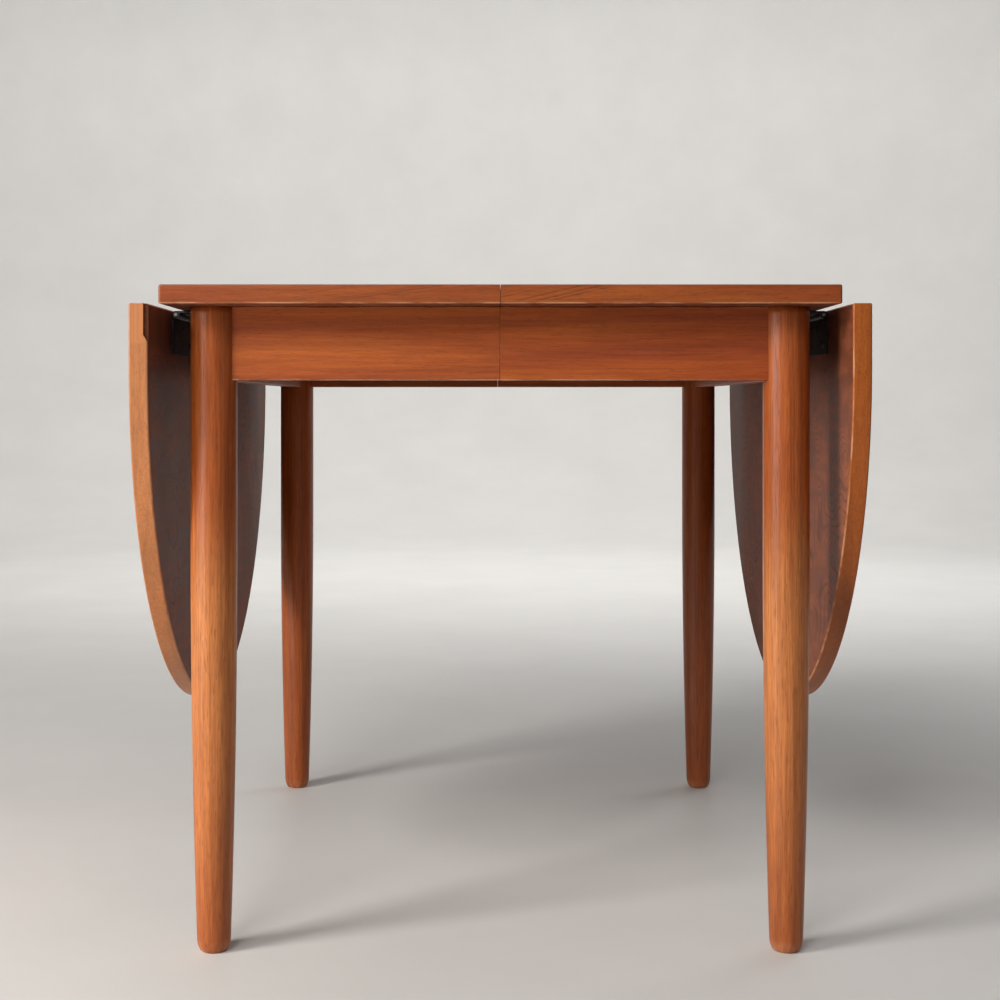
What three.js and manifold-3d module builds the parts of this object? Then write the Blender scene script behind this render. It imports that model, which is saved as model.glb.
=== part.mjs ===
// Drop leaf dining table with a sliding centre seam, in millimetres.
// +X runs along the table towards the right-hand leaf, +Y runs across it to the rear, +Z is up.
// The origin is on the floor under the middle of the table. Both leaves hang down.
//
// The table is two halves that meet at the seam X = 0. The left half is the right half turned by
// half a turn about Z, so everything that both halves have is drawn once, for the right half.

import * as THREE from 'three';
import { mergeVertices } from 'three/addons/utils/BufferGeometryUtils.js';
import Module from 'manifold-3d';

const wasm = await Module();
wasm.setup();

// ---------------------------------------------------------------- driving dimensions

const TABLE_HEIGHT = 730;
const TOP_LENGTH = 728;
const TOP_WIDTH = 850;
const PANEL_THICKNESS = 20.5;
const PANEL_EASE = 2;
const SEAM_GAP = 1;
const FIT = 0.3;

// A leaf has a straight shoulder below its butt edge, then a half circle as wide as the top.
const LEAF_SHOULDER = 65;
const LEAF_BUTT_GAP = 1;
const LEAF_RELIEF_WIDTH = 4.6;
const LEAF_RELIEF_HEIGHT = 44;

const LEG_RADIUS = 25.5;
const LEG_ANKLE_RADIUS = 18.6;
const LEG_FOOT_RADIUS = 12;
const LEG_FOOT_HEIGHT = 16;
const LEG_STRAIGHT = 260;
const LEG_END_INSET = 48;
const LEG_SIDE_INSET = 65;

const APRON_HEIGHT = 80.5;
const APRON_THICKNESS = 22;
const APRON_SETBACK = 12.5;
const APRON_EASE = 1;
const TENON_THICKNESS = 9;
const TENON_SHOULDER = 12;
const TENON_TIP_FROM_AXIS = 8;

const CORNER_BLOCK_LEG_GAP = 8.75;
const CORNER_BLOCK_THICKNESS = 28;
const CORNER_BLOCK_HEIGHT = 45;
const CORNER_BLOCK_BELOW_CLEAT = 4;

const CLEAT_SIZE = 18;
const CLEAT_LENGTH = 200;

// Each runner set is three bars side by side, joined by dovetail tongues on the middle bar.
const RUNNER_END_GAP = 12;
const RUNNER_BLOCK_GAP = 4;
const RUNNER_WIDTH = 20;
const RUNNER_HEIGHT = 38;
const RUNNER_GAP = 1;
const TONGUE_DEPTH = 7;
const TONGUE_NECK = 9;
const TONGUE_TIP = 14;
const SLIDE_CLEARANCE = 0.4;

// Bearers pull out from under the top to carry a raised leaf.
const BEARER_WIDTH = 30;
const BEARER_HEIGHT = 22;
const BEARER_SHOW = 4;
const BEARER_SEAM_GAP = 27;
const BEARER_RUNNER_GAP = 80;
const BEARER_GROOVE_RADIUS = 7;
const KEEPER_THICKNESS = 22;
const KEEPER_SETBACK = 45;
const KEEPER_WEB = 14;
const PEG_RADIUS = 4;
const PEG_GRIP = 13;
const PEG_INSET = 14;

const DOWEL_RADIUS = 4;
const DOWEL_LENGTH = 28;
const DOWEL_SIDE_INSET = 125;

// Backflap hinges: a plate under the top, a plate on the leaf's inner face, and a pin between.
const HINGE_LEG_GAP = 32;
const HINGE_APRON_GAP = 3.4;
const HINGE_LENGTH = 110;
const HINGE_PLATE = 2.2;
const HINGE_LEAF_PLATE_DROP = 45;
const HINGE_MIDDLE_KNUCKLE = 40;
const HINGE_PIN_RADIUS = 1.9;
const PIN_PROUD = 1;
const KNUCKLE_RADIUS = 4.4;
const KNUCKLE_GAP = 0.4;
const SCREW_HOLE_RADIUS = 2;

// How many flats stand for a round: a leg, a half-round leaf end, and a screw hole.
const ROUND_STEPS = 36;
const LEAF_STEPS = 52;
const HOLE_STEPS = 10;

// ---------------------------------------------------------------- derived places

const TOP_END = TOP_LENGTH / 2;
const TOP_SIDE = TOP_WIDTH / 2;
const UNDERSIDE = TABLE_HEIGHT - PANEL_THICKNESS;
const FRAME_TOP = UNDERSIDE - FIT;
const LEG_X = TOP_END - LEG_END_INSET;
const LEG_Y = TOP_SIDE - LEG_SIDE_INSET;
const APRON_BOTTOM = FRAME_TOP - APRON_HEIGHT;
const APRON_OUTSET = LEG_RADIUS - APRON_SETBACK;
const APRON_MIDDLE = APRON_OUTSET - APRON_THICKNESS / 2;
const SIDE_APRON_OUTER = LEG_Y + APRON_OUTSET;
const SIDE_APRON_INNER = SIDE_APRON_OUTER - APRON_THICKNESS;
const END_APRON_OUTER = LEG_X + APRON_OUTSET;
const END_APRON_INNER = END_APRON_OUTER - APRON_THICKNESS;

// The pin stands off the leaf's inner face as far as it hangs below the underside of the top, so
// a raised leaf comes flush with the top.
const PIN_OFFSET = KNUCKLE_RADIUS + KNUCKLE_GAP;
const PIN_RISE = PIN_OFFSET + KNUCKLE_GAP;
const PIN_X = TOP_END + LEAF_BUTT_GAP + PIN_RISE;
const PIN_Z = UNDERSIDE - PIN_OFFSET;
const LEAF_INNER = PIN_X + PIN_OFFSET;
const LEAF_TOP = PIN_Z + PIN_RISE;
const PIN_BORE_RADIUS = HINGE_PIN_RADIUS + FIT;

// A corner block's inner face clears the leg. Its ends reach this far along each apron.
const CORNER_BLOCK_START = (LEG_RADIUS + CORNER_BLOCK_LEG_GAP) * Math.SQRT2 - 2 * (LEG_X - END_APRON_INNER);
const CORNER_BLOCK_REACH = CORNER_BLOCK_START + CORNER_BLOCK_THICKNESS * Math.SQRT2;

// From the side aprons inwards: corner blocks, then the runners, then the bearers.
const RUNNER_LENGTH = 2 * (END_APRON_INNER - RUNNER_END_GAP);
const RUNNER_PITCH = RUNNER_WIDTH + RUNNER_GAP;
const RUNNER_SET_HALF = RUNNER_PITCH + RUNNER_WIDTH / 2;
const RUNNER_Y = SIDE_APRON_INNER - CORNER_BLOCK_REACH - RUNNER_BLOCK_GAP - RUNNER_SET_HALF;
const BEARER_Y = RUNNER_Y - RUNNER_SET_HALF - BEARER_RUNNER_GAP - BEARER_WIDTH / 2;

const KEEPER_OUTER = END_APRON_INNER - KEEPER_SETBACK;
const KEEPER_INNER = KEEPER_OUTER - KEEPER_THICKNESS;
const BEARER_TIP = END_APRON_OUTER + BEARER_SHOW;
const PEG_X = BEARER_SEAM_GAP + PEG_INSET;
const BEARER_BOTTOM = FRAME_TOP - FIT - BEARER_HEIGHT;

const HINGE_Y = LEG_Y - LEG_RADIUS - HINGE_LEG_GAP - HINGE_LENGTH / 2;
const DOWEL_SPACING = TOP_SIDE - DOWEL_SIDE_INSET;

// ---------------------------------------------------------------- finishes

const finish = (color, roughness, metalness = 0) =>
  new THREE.MeshStandardMaterial({ color, roughness, metalness });

const FINISHES = {
  teak: finish('#a85a2c', 0.45),
  leafTeak: finish('#94532f', 0.5),
  legTeak: finish('#a95f28', 0.42),
  apronTeak: finish('#9c4a26', 0.45),
  beech: finish('#c9a06c', 0.6),
  birch: finish('#d3b184', 0.6),
  blackSteel: finish('#1c1b1b', 0.45, 0.6),
  brightSteel: finish('#b5b3ae', 0.35, 1),
};

// ---------------------------------------------------------------- solid modelling helpers

function toSolid(geometry) {
  const bare = new THREE.BufferGeometry();
  bare.setAttribute('position', geometry.getAttribute('position'));
  bare.setIndex(geometry.index);
  const merged = mergeVertices(bare, 1e-4);
  const vertProperties = new Float32Array(merged.getAttribute('position').array);
  const triVerts = new Uint32Array(merged.index.array);
  return new wasm.Manifold(new wasm.Mesh({ numProp: 3, vertProperties, triVerts }));
}

function toGeometry(solid) {
  const { vertProperties, triVerts } = solid.getMesh();
  const geometry = new THREE.BufferGeometry();
  geometry.setAttribute('position', new THREE.BufferAttribute(vertProperties, 3));
  geometry.setIndex(new THREE.BufferAttribute(triVerts, 1));
  return geometry;
}

function block([x0, x1], [y0, y1], [z0, z1]) {
  const geometry = new THREE.BoxGeometry(x1 - x0, y1 - y0, z1 - z0);
  geometry.translate((x0 + x1) / 2, (y0 + y1) / 2, (z0 + z1) / 2);
  return toSolid(geometry);
}

// A flat plate from an outline in X and Y, with its upper and lower arrises rounded over.
function easedPlate(outline, z0, z1, ease, curveSegments = 12) {
  const geometry = new THREE.ExtrudeGeometry(outline, {
    depth: z1 - z0 - 2 * ease,
    bevelThickness: ease,
    bevelSize: ease,
    bevelOffset: -ease,
    bevelSegments: 2,
    curveSegments,
  });
  geometry.translate(0, 0, z0 + ease);
  return geometry;
}

function polygon(points) {
  return new THREE.Shape(points.map(([x, y]) => new THREE.Vector2(x, y)));
}

function rectangle([x0, x1], [y0, y1]) {
  return polygon([[x0, y0], [x1, y0], [x1, y1], [x0, y1]]);
}

function board(xs, ys, [z0, z1], ease) {
  return toSolid(easedPlate(rectangle(xs, ys), z0, z1, ease));
}

function prism(outline, z0, z1) {
  const geometry = new THREE.ExtrudeGeometry(outline, { depth: z1 - z0, bevelEnabled: false });
  geometry.translate(0, 0, z0);
  return toSolid(geometry);
}

// A round rod from one point to another.
function rod(radius, from, to, segments = 16) {
  const start = new THREE.Vector3(...from);
  const run = new THREE.Vector3(...to).sub(start);
  const geometry = new THREE.CylinderGeometry(radius, radius, run.length(), segments);
  const turn = new THREE.Quaternion().setFromUnitVectors(
    new THREE.Vector3(0, 1, 0),
    run.clone().normalize(),
  );
  geometry.applyQuaternion(turn);
  const middle = start.addScaledVector(run, 0.5);
  geometry.translate(middle.x, middle.y, middle.z);
  return toSolid(geometry);
}

function cut(solid, ...tools) {
  return tools.reduce((rest, tool) => rest.subtract(tool), solid);
}

function join(...solids) {
  return solids.reduce((whole, solid) => whole.add(solid));
}

function meshOf(name, shape, material) {
  const geometry = shape.isBufferGeometry ? shape : toGeometry(shape);
  const mesh = new THREE.Mesh(geometry, material);
  mesh.name = name;
  return mesh;
}

// A pair of coordinates on the side of the table given by sign, lowest first.
function sided(sign, a, b) {
  return [sign * a, sign * b].sort((p, q) => p - q);
}

// ---------------------------------------------------------------- top and leaves

function dowelHole(y, x0, x1) {
  const z = TABLE_HEIGHT - PANEL_THICKNESS / 2;
  return rod(DOWEL_RADIUS + FIT, [x0, y, z], [x1, y, z]);
}

const DOWEL_ROWS = [-DOWEL_SPACING, 0, DOWEL_SPACING];

// The whole top is eased round its edge first, then cut at the seam, so the seam stays crisp.
function topHalf() {
  const whole = board(
    [-TOP_END, TOP_END],
    [-TOP_SIDE, TOP_SIDE],
    [UNDERSIDE, TABLE_HEIGHT],
    PANEL_EASE,
  );
  const otherHalf = block(
    [-TOP_LENGTH, SEAM_GAP / 2],
    [-TOP_WIDTH, TOP_WIDTH],
    [0, 2 * TABLE_HEIGHT],
  );
  const reach = DOWEL_LENGTH / 2 + FIT;
  return cut(whole, otherHalf, ...DOWEL_ROWS.map((y) => dowelHole(y, -reach, reach)));
}

function seamDowel() {
  return rod(DOWEL_RADIUS, [-DOWEL_LENGTH / 2, 0, 0], [DOWEL_LENGTH / 2, 0, 0]);
}

// The leaf is drawn flat, with its butt edge on the line y = 0 and its round end towards -y, then
// stood up so that it hangs from the butt edge with its thickness along X.
function leafOutline() {
  const outline = new THREE.Shape();
  outline.moveTo(TOP_SIDE, 0);
  outline.lineTo(-TOP_SIDE, 0);
  outline.lineTo(-TOP_SIDE, -LEAF_SHOULDER);
  outline.absarc(0, -LEAF_SHOULDER, TOP_SIDE, Math.PI, 2 * Math.PI, false);
  return outline;
}

function hangingLeaf() {
  const geometry = easedPlate(leafOutline(), 0, PANEL_THICKNESS, PANEL_EASE, LEAF_STEPS);
  geometry.rotateX(Math.PI / 2);
  geometry.rotateZ(Math.PI / 2);
  geometry.translate(LEAF_INNER, 0, LEAF_TOP);
  return toSolid(geometry);
}

// One leaf has a shallow stopped relief down the inner arris of its front shoulder.
function relievedLeaf() {
  const relief = block(
    [LEAF_INNER - LEAF_RELIEF_WIDTH, LEAF_INNER + LEAF_RELIEF_WIDTH],
    [TOP_SIDE - LEAF_RELIEF_WIDTH, TOP_SIDE + LEAF_RELIEF_WIDTH],
    [LEAF_TOP - LEAF_RELIEF_HEIGHT, LEAF_TOP + LEAF_RELIEF_WIDTH],
  );
  return cut(hangingLeaf(), relief);
}

// ---------------------------------------------------------------- legs

// Straight below the aprons, then a taper that quickens to the ankle, then a rounded foot.
function legProfile() {
  const taperTop = FRAME_TOP - LEG_STRAIGHT;
  const taperHeight = taperTop - LEG_FOOT_HEIGHT;
  const footSteps = 4;
  const taperSteps = 6;
  const points = [[0, 0]];
  for (let step = 0; step <= footSteps; step += 1) {
    const angle = (step / footSteps) * (Math.PI / 2);
    const radius = LEG_FOOT_RADIUS + (LEG_ANKLE_RADIUS - LEG_FOOT_RADIUS) * Math.sin(angle);
    points.push([radius, LEG_FOOT_HEIGHT * (1 - Math.cos(angle))]);
  }
  for (let step = 1; step <= taperSteps; step += 1) {
    const rise = step / taperSteps;
    const thinning = (LEG_RADIUS - LEG_ANKLE_RADIUS) * (1 - rise) ** 2;
    points.push([LEG_RADIUS - thinning, LEG_FOOT_HEIGHT + taperHeight * rise]);
  }
  points.push([LEG_RADIUS, FRAME_TOP], [0, FRAME_TOP]);
  return points.map(([radius, z]) => new THREE.Vector2(radius, z));
}

// A tenon box about a leg axis: it runs inwards along one axis and lies behind the apron's
// middle plane on the other. grow widens it into its mortise.
function tenonBox(along, across, length, grow) {
  const half = TENON_THICKNESS / 2 + grow;
  const run = sided(along, TENON_TIP_FROM_AXIS - grow, length);
  const width = sided(across, -APRON_MIDDLE - half, -APRON_MIDDLE + half);
  const height = [APRON_BOTTOM + TENON_SHOULDER - grow, FRAME_TOP - TENON_SHOULDER + grow];
  return { run, width, height };
}

// inX and inY point from the leg towards the middle of its half of the table.
function leg(inX, inY) {
  const post = new THREE.LatheGeometry(legProfile(), ROUND_STEPS);
  post.rotateX(Math.PI / 2);
  const depth = 2 * LEG_RADIUS;
  const side = tenonBox(inX, inY, depth, FIT);
  const end = tenonBox(inY, inX, depth, FIT);
  return cut(
    toSolid(post),
    block(side.run, side.width, side.height),
    block(end.width, end.run, end.height),
  );
}

// ---------------------------------------------------------------- aprons

function legScribe(y) {
  return rod(LEG_RADIUS + FIT, [LEG_X, y, 0], [LEG_X, y, TABLE_HEIGHT], ROUND_STEPS);
}

// Where an apron's blank stops short of the leg's axis, before the leg's round is scribed out.
const BLANK_STOP = TENON_TIP_FROM_AXIS;

function sideApron(sign) {
  const blank = board(
    [SEAM_GAP / 2, LEG_X - BLANK_STOP],
    sided(sign, SIDE_APRON_INNER, SIDE_APRON_OUTER),
    [APRON_BOTTOM, FRAME_TOP],
    APRON_EASE,
  );
  const { run, width, height } = tenonBox(-1, -sign, LEG_RADIUS + APRON_THICKNESS / 2, 0);
  const tenon = block(
    run.map((x) => x + LEG_X),
    width.map((y) => y + sign * LEG_Y),
    height,
  );
  return join(cut(blank, legScribe(sign * LEG_Y)), tenon);
}

function bearerSlot(y) {
  const half = BEARER_WIDTH / 2 + SLIDE_CLEARANCE;
  return block([0, TOP_END], [y - half, y + half], [BEARER_BOTTOM - SLIDE_CLEARANCE, TABLE_HEIGHT]);
}

function endApron() {
  const reach = LEG_Y - BLANK_STOP;
  const blank = board(
    [END_APRON_INNER, END_APRON_OUTER],
    [-reach, reach],
    [APRON_BOTTOM, FRAME_TOP],
    APRON_EASE,
  );
  const scribed = cut(blank, legScribe(-LEG_Y), legScribe(LEG_Y));
  const tenons = [-1, 1].map((sign) => {
    const { run, width, height } = tenonBox(-sign, -1, LEG_RADIUS + APRON_THICKNESS / 2, 0);
    return block(
      width.map((x) => x + LEG_X),
      run.map((y) => y + sign * LEG_Y),
      height,
    );
  });
  return cut(join(scribed, ...tenons), bearerSlot(-BEARER_Y), bearerSlot(BEARER_Y));
}

// ---------------------------------------------------------------- frame fittings

// A brace glued across the corner behind a leg: a band at 45 degrees with mitred ends.
function cornerBlock(sign) {
  const near = CORNER_BLOCK_START;
  const far = CORNER_BLOCK_REACH;
  const corners = [[FIT, near], [FIT, far], [far, FIT], [near, FIT]];
  const points = corners.map(([u, v]) => [END_APRON_INNER - u, sign * (SIDE_APRON_INNER - v)]);
  const top = FRAME_TOP - CLEAT_SIZE - CORNER_BLOCK_BELOW_CLEAT;
  const wound = sign > 0 ? points : points.reverse();
  return prism(polygon(wound), top - CORNER_BLOCK_HEIGHT, top);
}

// A square batten that screws the top down along the inside of a side apron.
function topCleat(sign) {
  const face = SIDE_APRON_INNER - FIT;
  const centre = (LEG_X - LEG_RADIUS) / 2;
  return board(
    [centre - CLEAT_LENGTH / 2, centre + CLEAT_LENGTH / 2],
    sided(sign, face - CLEAT_SIZE, face),
    [FRAME_TOP - CLEAT_SIZE, FRAME_TOP],
    APRON_EASE,
  );
}

// A batten across both bearers, notched so that they slide through it.
function bearerKeeper() {
  const reach = BEARER_Y + BEARER_WIDTH;
  const blank = board(
    [KEEPER_INNER, KEEPER_OUTER],
    [-reach, reach],
    [BEARER_BOTTOM - SLIDE_CLEARANCE - KEEPER_WEB, FRAME_TOP],
    APRON_EASE,
  );
  return cut(blank, bearerSlot(-BEARER_Y), bearerSlot(BEARER_Y));
}

// A bearer is drawn about its own centre line, with a finger groove under its outer end.
function bearer() {
  const bar = board(
    [BEARER_SEAM_GAP, BEARER_TIP],
    [-BEARER_WIDTH / 2, BEARER_WIDTH / 2],
    [BEARER_BOTTOM, BEARER_BOTTOM + BEARER_HEIGHT],
    APRON_EASE,
  );
  const grooveX = END_APRON_INNER - 3 * BEARER_GROOVE_RADIUS;
  const groove = rod(
    BEARER_GROOVE_RADIUS,
    [grooveX, -BEARER_WIDTH, BEARER_BOTTOM],
    [grooveX, BEARER_WIDTH, BEARER_BOTTOM],
  );
  const pegHole = rod(
    PEG_RADIUS + FIT,
    [PEG_X, 0, 0],
    [PEG_X, 0, BEARER_BOTTOM + PEG_GRIP + FIT],
  );
  return cut(bar, groove, pegHole);
}

// The peg meets the keeper's web when the bearer is fully out.
function bearerPeg() {
  const grip = BEARER_BOTTOM + PEG_GRIP;
  const tail = BEARER_BOTTOM - SLIDE_CLEARANCE - KEEPER_WEB / 2;
  return rod(PEG_RADIUS, [PEG_X, 0, tail], [PEG_X, 0, grip]);
}

// ---------------------------------------------------------------- telescoping runners

// Corners of a dovetail tongue on the face at y = face, pointing along sign.
function dovetail(face, sign, clearance) {
  const neck = TONGUE_NECK / 2 + clearance;
  const tip = TONGUE_TIP / 2 + clearance;
  const end = face + sign * (TONGUE_DEPTH + clearance);
  return [[face, -neck], [end, -tip], [end, tip], [face, neck]];
}

// Sections are drawn in Y and Z about the bar's centre, then drawn out along X.
function runnerBar(section) {
  const geometry = new THREE.ExtrudeGeometry(section, { depth: RUNNER_LENGTH, bevelEnabled: false });
  geometry.translate(0, 0, -RUNNER_LENGTH / 2);
  geometry.rotateX(Math.PI / 2);
  geometry.rotateZ(Math.PI / 2);
  return toSolid(geometry);
}

function middleRunner() {
  const side = RUNNER_WIDTH / 2;
  const half = RUNNER_HEIGHT / 2 - RUNNER_GAP;
  const right = dovetail(side, 1, 0);
  const left = dovetail(-side, -1, 0).reverse();
  return runnerBar(polygon([[-side, -half], [side, -half], ...right, [side, half], [-side, half], ...left]));
}

// grooved is the sign of the face that carries the groove for the middle bar's tongue.
function outerRunner(grooved) {
  const side = RUNNER_WIDTH / 2;
  const half = RUNNER_HEIGHT / 2;
  const bar = runnerBar(rectangle([-side, side], [-half, half]));
  const face = grooved * (side + RUNNER_GAP);
  const groove = dovetail(face, -grooved, SLIDE_CLEARANCE);
  const wound = grooved > 0 ? groove.reverse() : groove;
  return cut(bar, runnerBar(polygon(wound)));
}

function runnerSet(name, sign) {
  const z = FRAME_TOP - RUNNER_HEIGHT / 2;
  const bars = [
    meshOf(`${name}_left_runner`, outerRunner(-sign), FINISHES.beech),
    meshOf(`${name}_middle_runner`, middleRunner(), FINISHES.beech),
    meshOf(`${name}_right_runner`, outerRunner(sign), FINISHES.beech),
  ];
  bars.forEach((bar, place) => {
    bar.position.set(0, sign * (RUNNER_Y + RUNNER_PITCH * (1 - place)), z);
  });
  return bars;
}

// ---------------------------------------------------------------- hinges

// A knuckle on the pin's line, between two places along Y. Hinges are drawn about y = 0.
function knuckle(y0, y1) {
  return rod(KNUCKLE_RADIUS, [PIN_X, y0, PIN_Z], [PIN_X, y1, PIN_Z]);
}

function pinBore() {
  return rod(PIN_BORE_RADIUS, [PIN_X, -HINGE_LENGTH, PIN_Z], [PIN_X, HINGE_LENGTH, PIN_Z]);
}

const HINGE_END = HINGE_LENGTH / 2;
const OUTER_KNUCKLE_START = HINGE_MIDDLE_KNUCKLE / 2 + KNUCKLE_GAP;

function hingeTopPlate() {
  const top = PIN_Z + KNUCKLE_RADIUS;
  const plateHeight = [top - HINGE_PLATE, top];
  const edge = PIN_X - PIN_OFFSET;
  const start = END_APRON_OUTER + HINGE_APRON_GAP;
  const plate = block([start, edge], [-HINGE_END, HINGE_END], plateHeight);
  const outer = [-1, 1].map((sign) => {
    const span = sided(sign, OUTER_KNUCKLE_START, HINGE_END);
    return join(knuckle(...span), block([edge, PIN_X], span, plateHeight));
  });
  const holes = [-1, 0, 1].map((place) => {
    const x = start + (edge - start) * (place === 0 ? 0.65 : 0.35);
    const y = (place * HINGE_LENGTH) / 3;
    return rod(SCREW_HOLE_RADIUS, [x, y, 0], [x, y, TABLE_HEIGHT], HOLE_STEPS);
  });
  return cut(join(plate, ...outer), pinBore(), ...holes);
}

function hingeLeafPlate() {
  const face = PIN_X + KNUCKLE_RADIUS;
  const plateDepth = [face - HINGE_PLATE, face];
  const bottom = PIN_Z - HINGE_LEAF_PLATE_DROP;
  const top = PIN_Z - PIN_OFFSET;
  const half = HINGE_MIDDLE_KNUCKLE / 2;
  const plate = block(plateDepth, [-HINGE_END, HINGE_END], [bottom, top]);
  const strap = block(plateDepth, [-half, half], [top, PIN_Z]);
  const holes = [-1, 0, 1].map((place) => {
    const z = bottom + (top - bottom) * (place === 0 ? 0.75 : 0.3);
    const y = (place * HINGE_LENGTH) / 3;
    return rod(SCREW_HOLE_RADIUS, [0, y, z], [2 * TOP_LENGTH, y, z], HOLE_STEPS);
  });
  return cut(join(plate, strap, knuckle(-half, half)), pinBore(), ...holes);
}

function hingePin() {
  const reach = HINGE_END + PIN_PROUD;
  return rod(HINGE_PIN_RADIUS, [PIN_X, -reach, PIN_Z], [PIN_X, reach, PIN_Z]);
}

// ---------------------------------------------------------------- assembly

// half is 'right' or 'left'. The left half is turned by half a turn, so what is at -Y on the
// drawing ends up at the rear there.
function placeName(half, sign) {
  const front = half === 'right' ? -1 : 1;
  return sign === front ? 'front' : 'rear';
}

function addAt(group, mesh, y) {
  mesh.position.y = y;
  group.add(mesh);
}

function tableHalf(half) {
  const group = new THREE.Group();
  const leaf = half === 'left' ? relievedLeaf() : hangingLeaf();
  group.add(
    meshOf(`${half}_top`, topHalf(), FINISHES.teak),
    meshOf(`${half}_leaf`, leaf, FINISHES.leafTeak),
    meshOf(`${half}_end_apron`, endApron(), FINISHES.apronTeak),
    meshOf(`${half}_bearer_keeper`, bearerKeeper(), FINISHES.beech),
  );
  for (const sign of [-1, 1]) {
    const place = `${placeName(half, sign)}_${half}`;
    const post = meshOf(`${place}_leg`, leg(-1, -sign), FINISHES.legTeak);
    post.position.set(LEG_X, sign * LEG_Y, 0);
    group.add(
      post,
      meshOf(`${place}_apron`, sideApron(sign), FINISHES.apronTeak),
      meshOf(`${place}_corner_block`, cornerBlock(sign), FINISHES.birch),
      meshOf(`${place}_top_cleat`, topCleat(sign), FINISHES.beech),
    );
    addAt(group, meshOf(`${place}_bearer`, bearer(), FINISHES.beech), sign * BEARER_Y);
    addAt(group, meshOf(`${place}_bearer_peg`, bearerPeg(), FINISHES.birch), sign * BEARER_Y);
    addAt(group, meshOf(`${place}_hinge_top_plate`, hingeTopPlate(), FINISHES.blackSteel), sign * HINGE_Y);
    addAt(group, meshOf(`${place}_hinge_leaf_plate`, hingeLeafPlate(), FINISHES.blackSteel), sign * HINGE_Y);
    addAt(group, meshOf(`${place}_hinge_pin`, hingePin(), FINISHES.brightSteel), sign * HINGE_Y);
  }
  group.rotation.z = half === 'left' ? Math.PI : 0;
  return group;
}

const table = new THREE.Group();
table.add(tableHalf('right'), tableHalf('left'));
table.add(...runnerSet('front', -1), ...runnerSet('rear', 1));

DOWEL_ROWS.forEach((y, place) => {
  const dowel = meshOf(`seam_dowel_${place + 1}`, seamDowel(), FINISHES.birch);
  dowel.position.set(0, y, TABLE_HEIGHT - PANEL_THICKNESS / 2);
  table.add(dowel);
});

export default table;
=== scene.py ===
import math

import bmesh
import bpy
from bpy.props import FloatProperty, FloatVectorProperty, PointerProperty
from mathutils import Matrix, Vector


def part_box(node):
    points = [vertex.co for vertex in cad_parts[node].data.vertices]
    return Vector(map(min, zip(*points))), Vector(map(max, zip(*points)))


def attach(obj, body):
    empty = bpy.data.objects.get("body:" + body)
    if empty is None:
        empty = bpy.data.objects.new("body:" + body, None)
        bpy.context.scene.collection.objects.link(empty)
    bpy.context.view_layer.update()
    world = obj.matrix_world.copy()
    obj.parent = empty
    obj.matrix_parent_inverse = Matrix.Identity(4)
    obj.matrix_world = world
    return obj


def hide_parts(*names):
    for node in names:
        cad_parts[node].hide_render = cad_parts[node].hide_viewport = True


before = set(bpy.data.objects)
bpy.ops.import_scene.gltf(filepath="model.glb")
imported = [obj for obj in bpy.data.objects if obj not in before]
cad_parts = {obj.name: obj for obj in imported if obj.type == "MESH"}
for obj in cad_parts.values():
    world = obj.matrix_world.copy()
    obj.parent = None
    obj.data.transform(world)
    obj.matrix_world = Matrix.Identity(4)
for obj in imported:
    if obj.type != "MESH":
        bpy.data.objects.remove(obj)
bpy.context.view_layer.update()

bl_info = {
    "name": "Drop leaf table",
    "version": (1, 0, 0),
    "blender": (4, 5, 0),
    "location": "3D View > Sidebar > Table",
    "description": "Builds an extending teak drop leaf table around its packed frame",
    "category": "Add Mesh",
}

# ---------------------------------------------------------------- places taken from the frame

HALVES = (("left", -1), ("right", 1))
ROWS = (("front", -1), ("rear", 1))

LEAF_LOW, LEAF_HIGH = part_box("right_leaf")
LEG_LOW, LEG_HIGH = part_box("rear_right_leg")
LEG_AXIS = (LEG_LOW + LEG_HIGH) / 2
LEG_RADIUS = (LEG_HIGH.x - LEG_LOW.x) / 2
LEG_HEIGHT = LEG_HIGH.z
LEG_CLEARANCE = 0.0003
LEAF_THICKNESS = LEAF_HIGH.x - LEAF_LOW.x
LEAF_SHOULDER = (LEAF_HIGH.z - LEAF_LOW.z) - LEAF_HIGH.y
# Each half stops this far short of the seam.
SEAM_GAP = 0.0002
SEAM_FACE_REACH = 0.0005
# End grain darkened further with painted shade of the seam's gap.
SAWN_AND_SHADE_DARKENING = 0.35
RELIEF_WIDTH = 0.0046
RELIEF_HEIGHT = 0.044
RELIEF_SLANT = 0.010


def colour_property(name, description, default):
    return FloatVectorProperty(
        name=name, description=description, default=default, subtype="COLOR", min=0, max=1
    )


def length_property(name, description, default):
    return FloatProperty(name=name, description=description, default=default, unit="LENGTH", min=0)


class TableSizes(bpy.types.PropertyGroup):
    """Sizes that finish the frame's shapes."""

    panel_arris: length_property("Panel arris", "Round along the edges of the top and leaves", 0.002)
    top_corner: length_property("Top corner", "Radius of the top's outer corners, seen from above", 0.003)
    seam_arris: length_property("Seam arris", "Round along the two edges that meet at the seam", 0.0002)
    apron_arris: length_property("Apron arris", "Round along the edges of the aprons", 0.0013)
    leg_ankle_radius: length_property("Ankle radius", "Radius of a leg just above its foot", 0.0186)
    leg_foot_radius: length_property("Foot radius", "Radius of the flat under a foot", 0.012)
    leg_foot_height: length_property("Foot height", "Height of the rounded foot", 0.016)
    leg_straight: length_property("Straight length", "Untapered length at the top of a leg", 0.26)
    screw_radius: length_property("Screw radius", "Radius of a screw's head", 0.0034)
    screw_slot: length_property("Screw slot", "Width of the slot in a screw's head", 0.0009)


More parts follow.
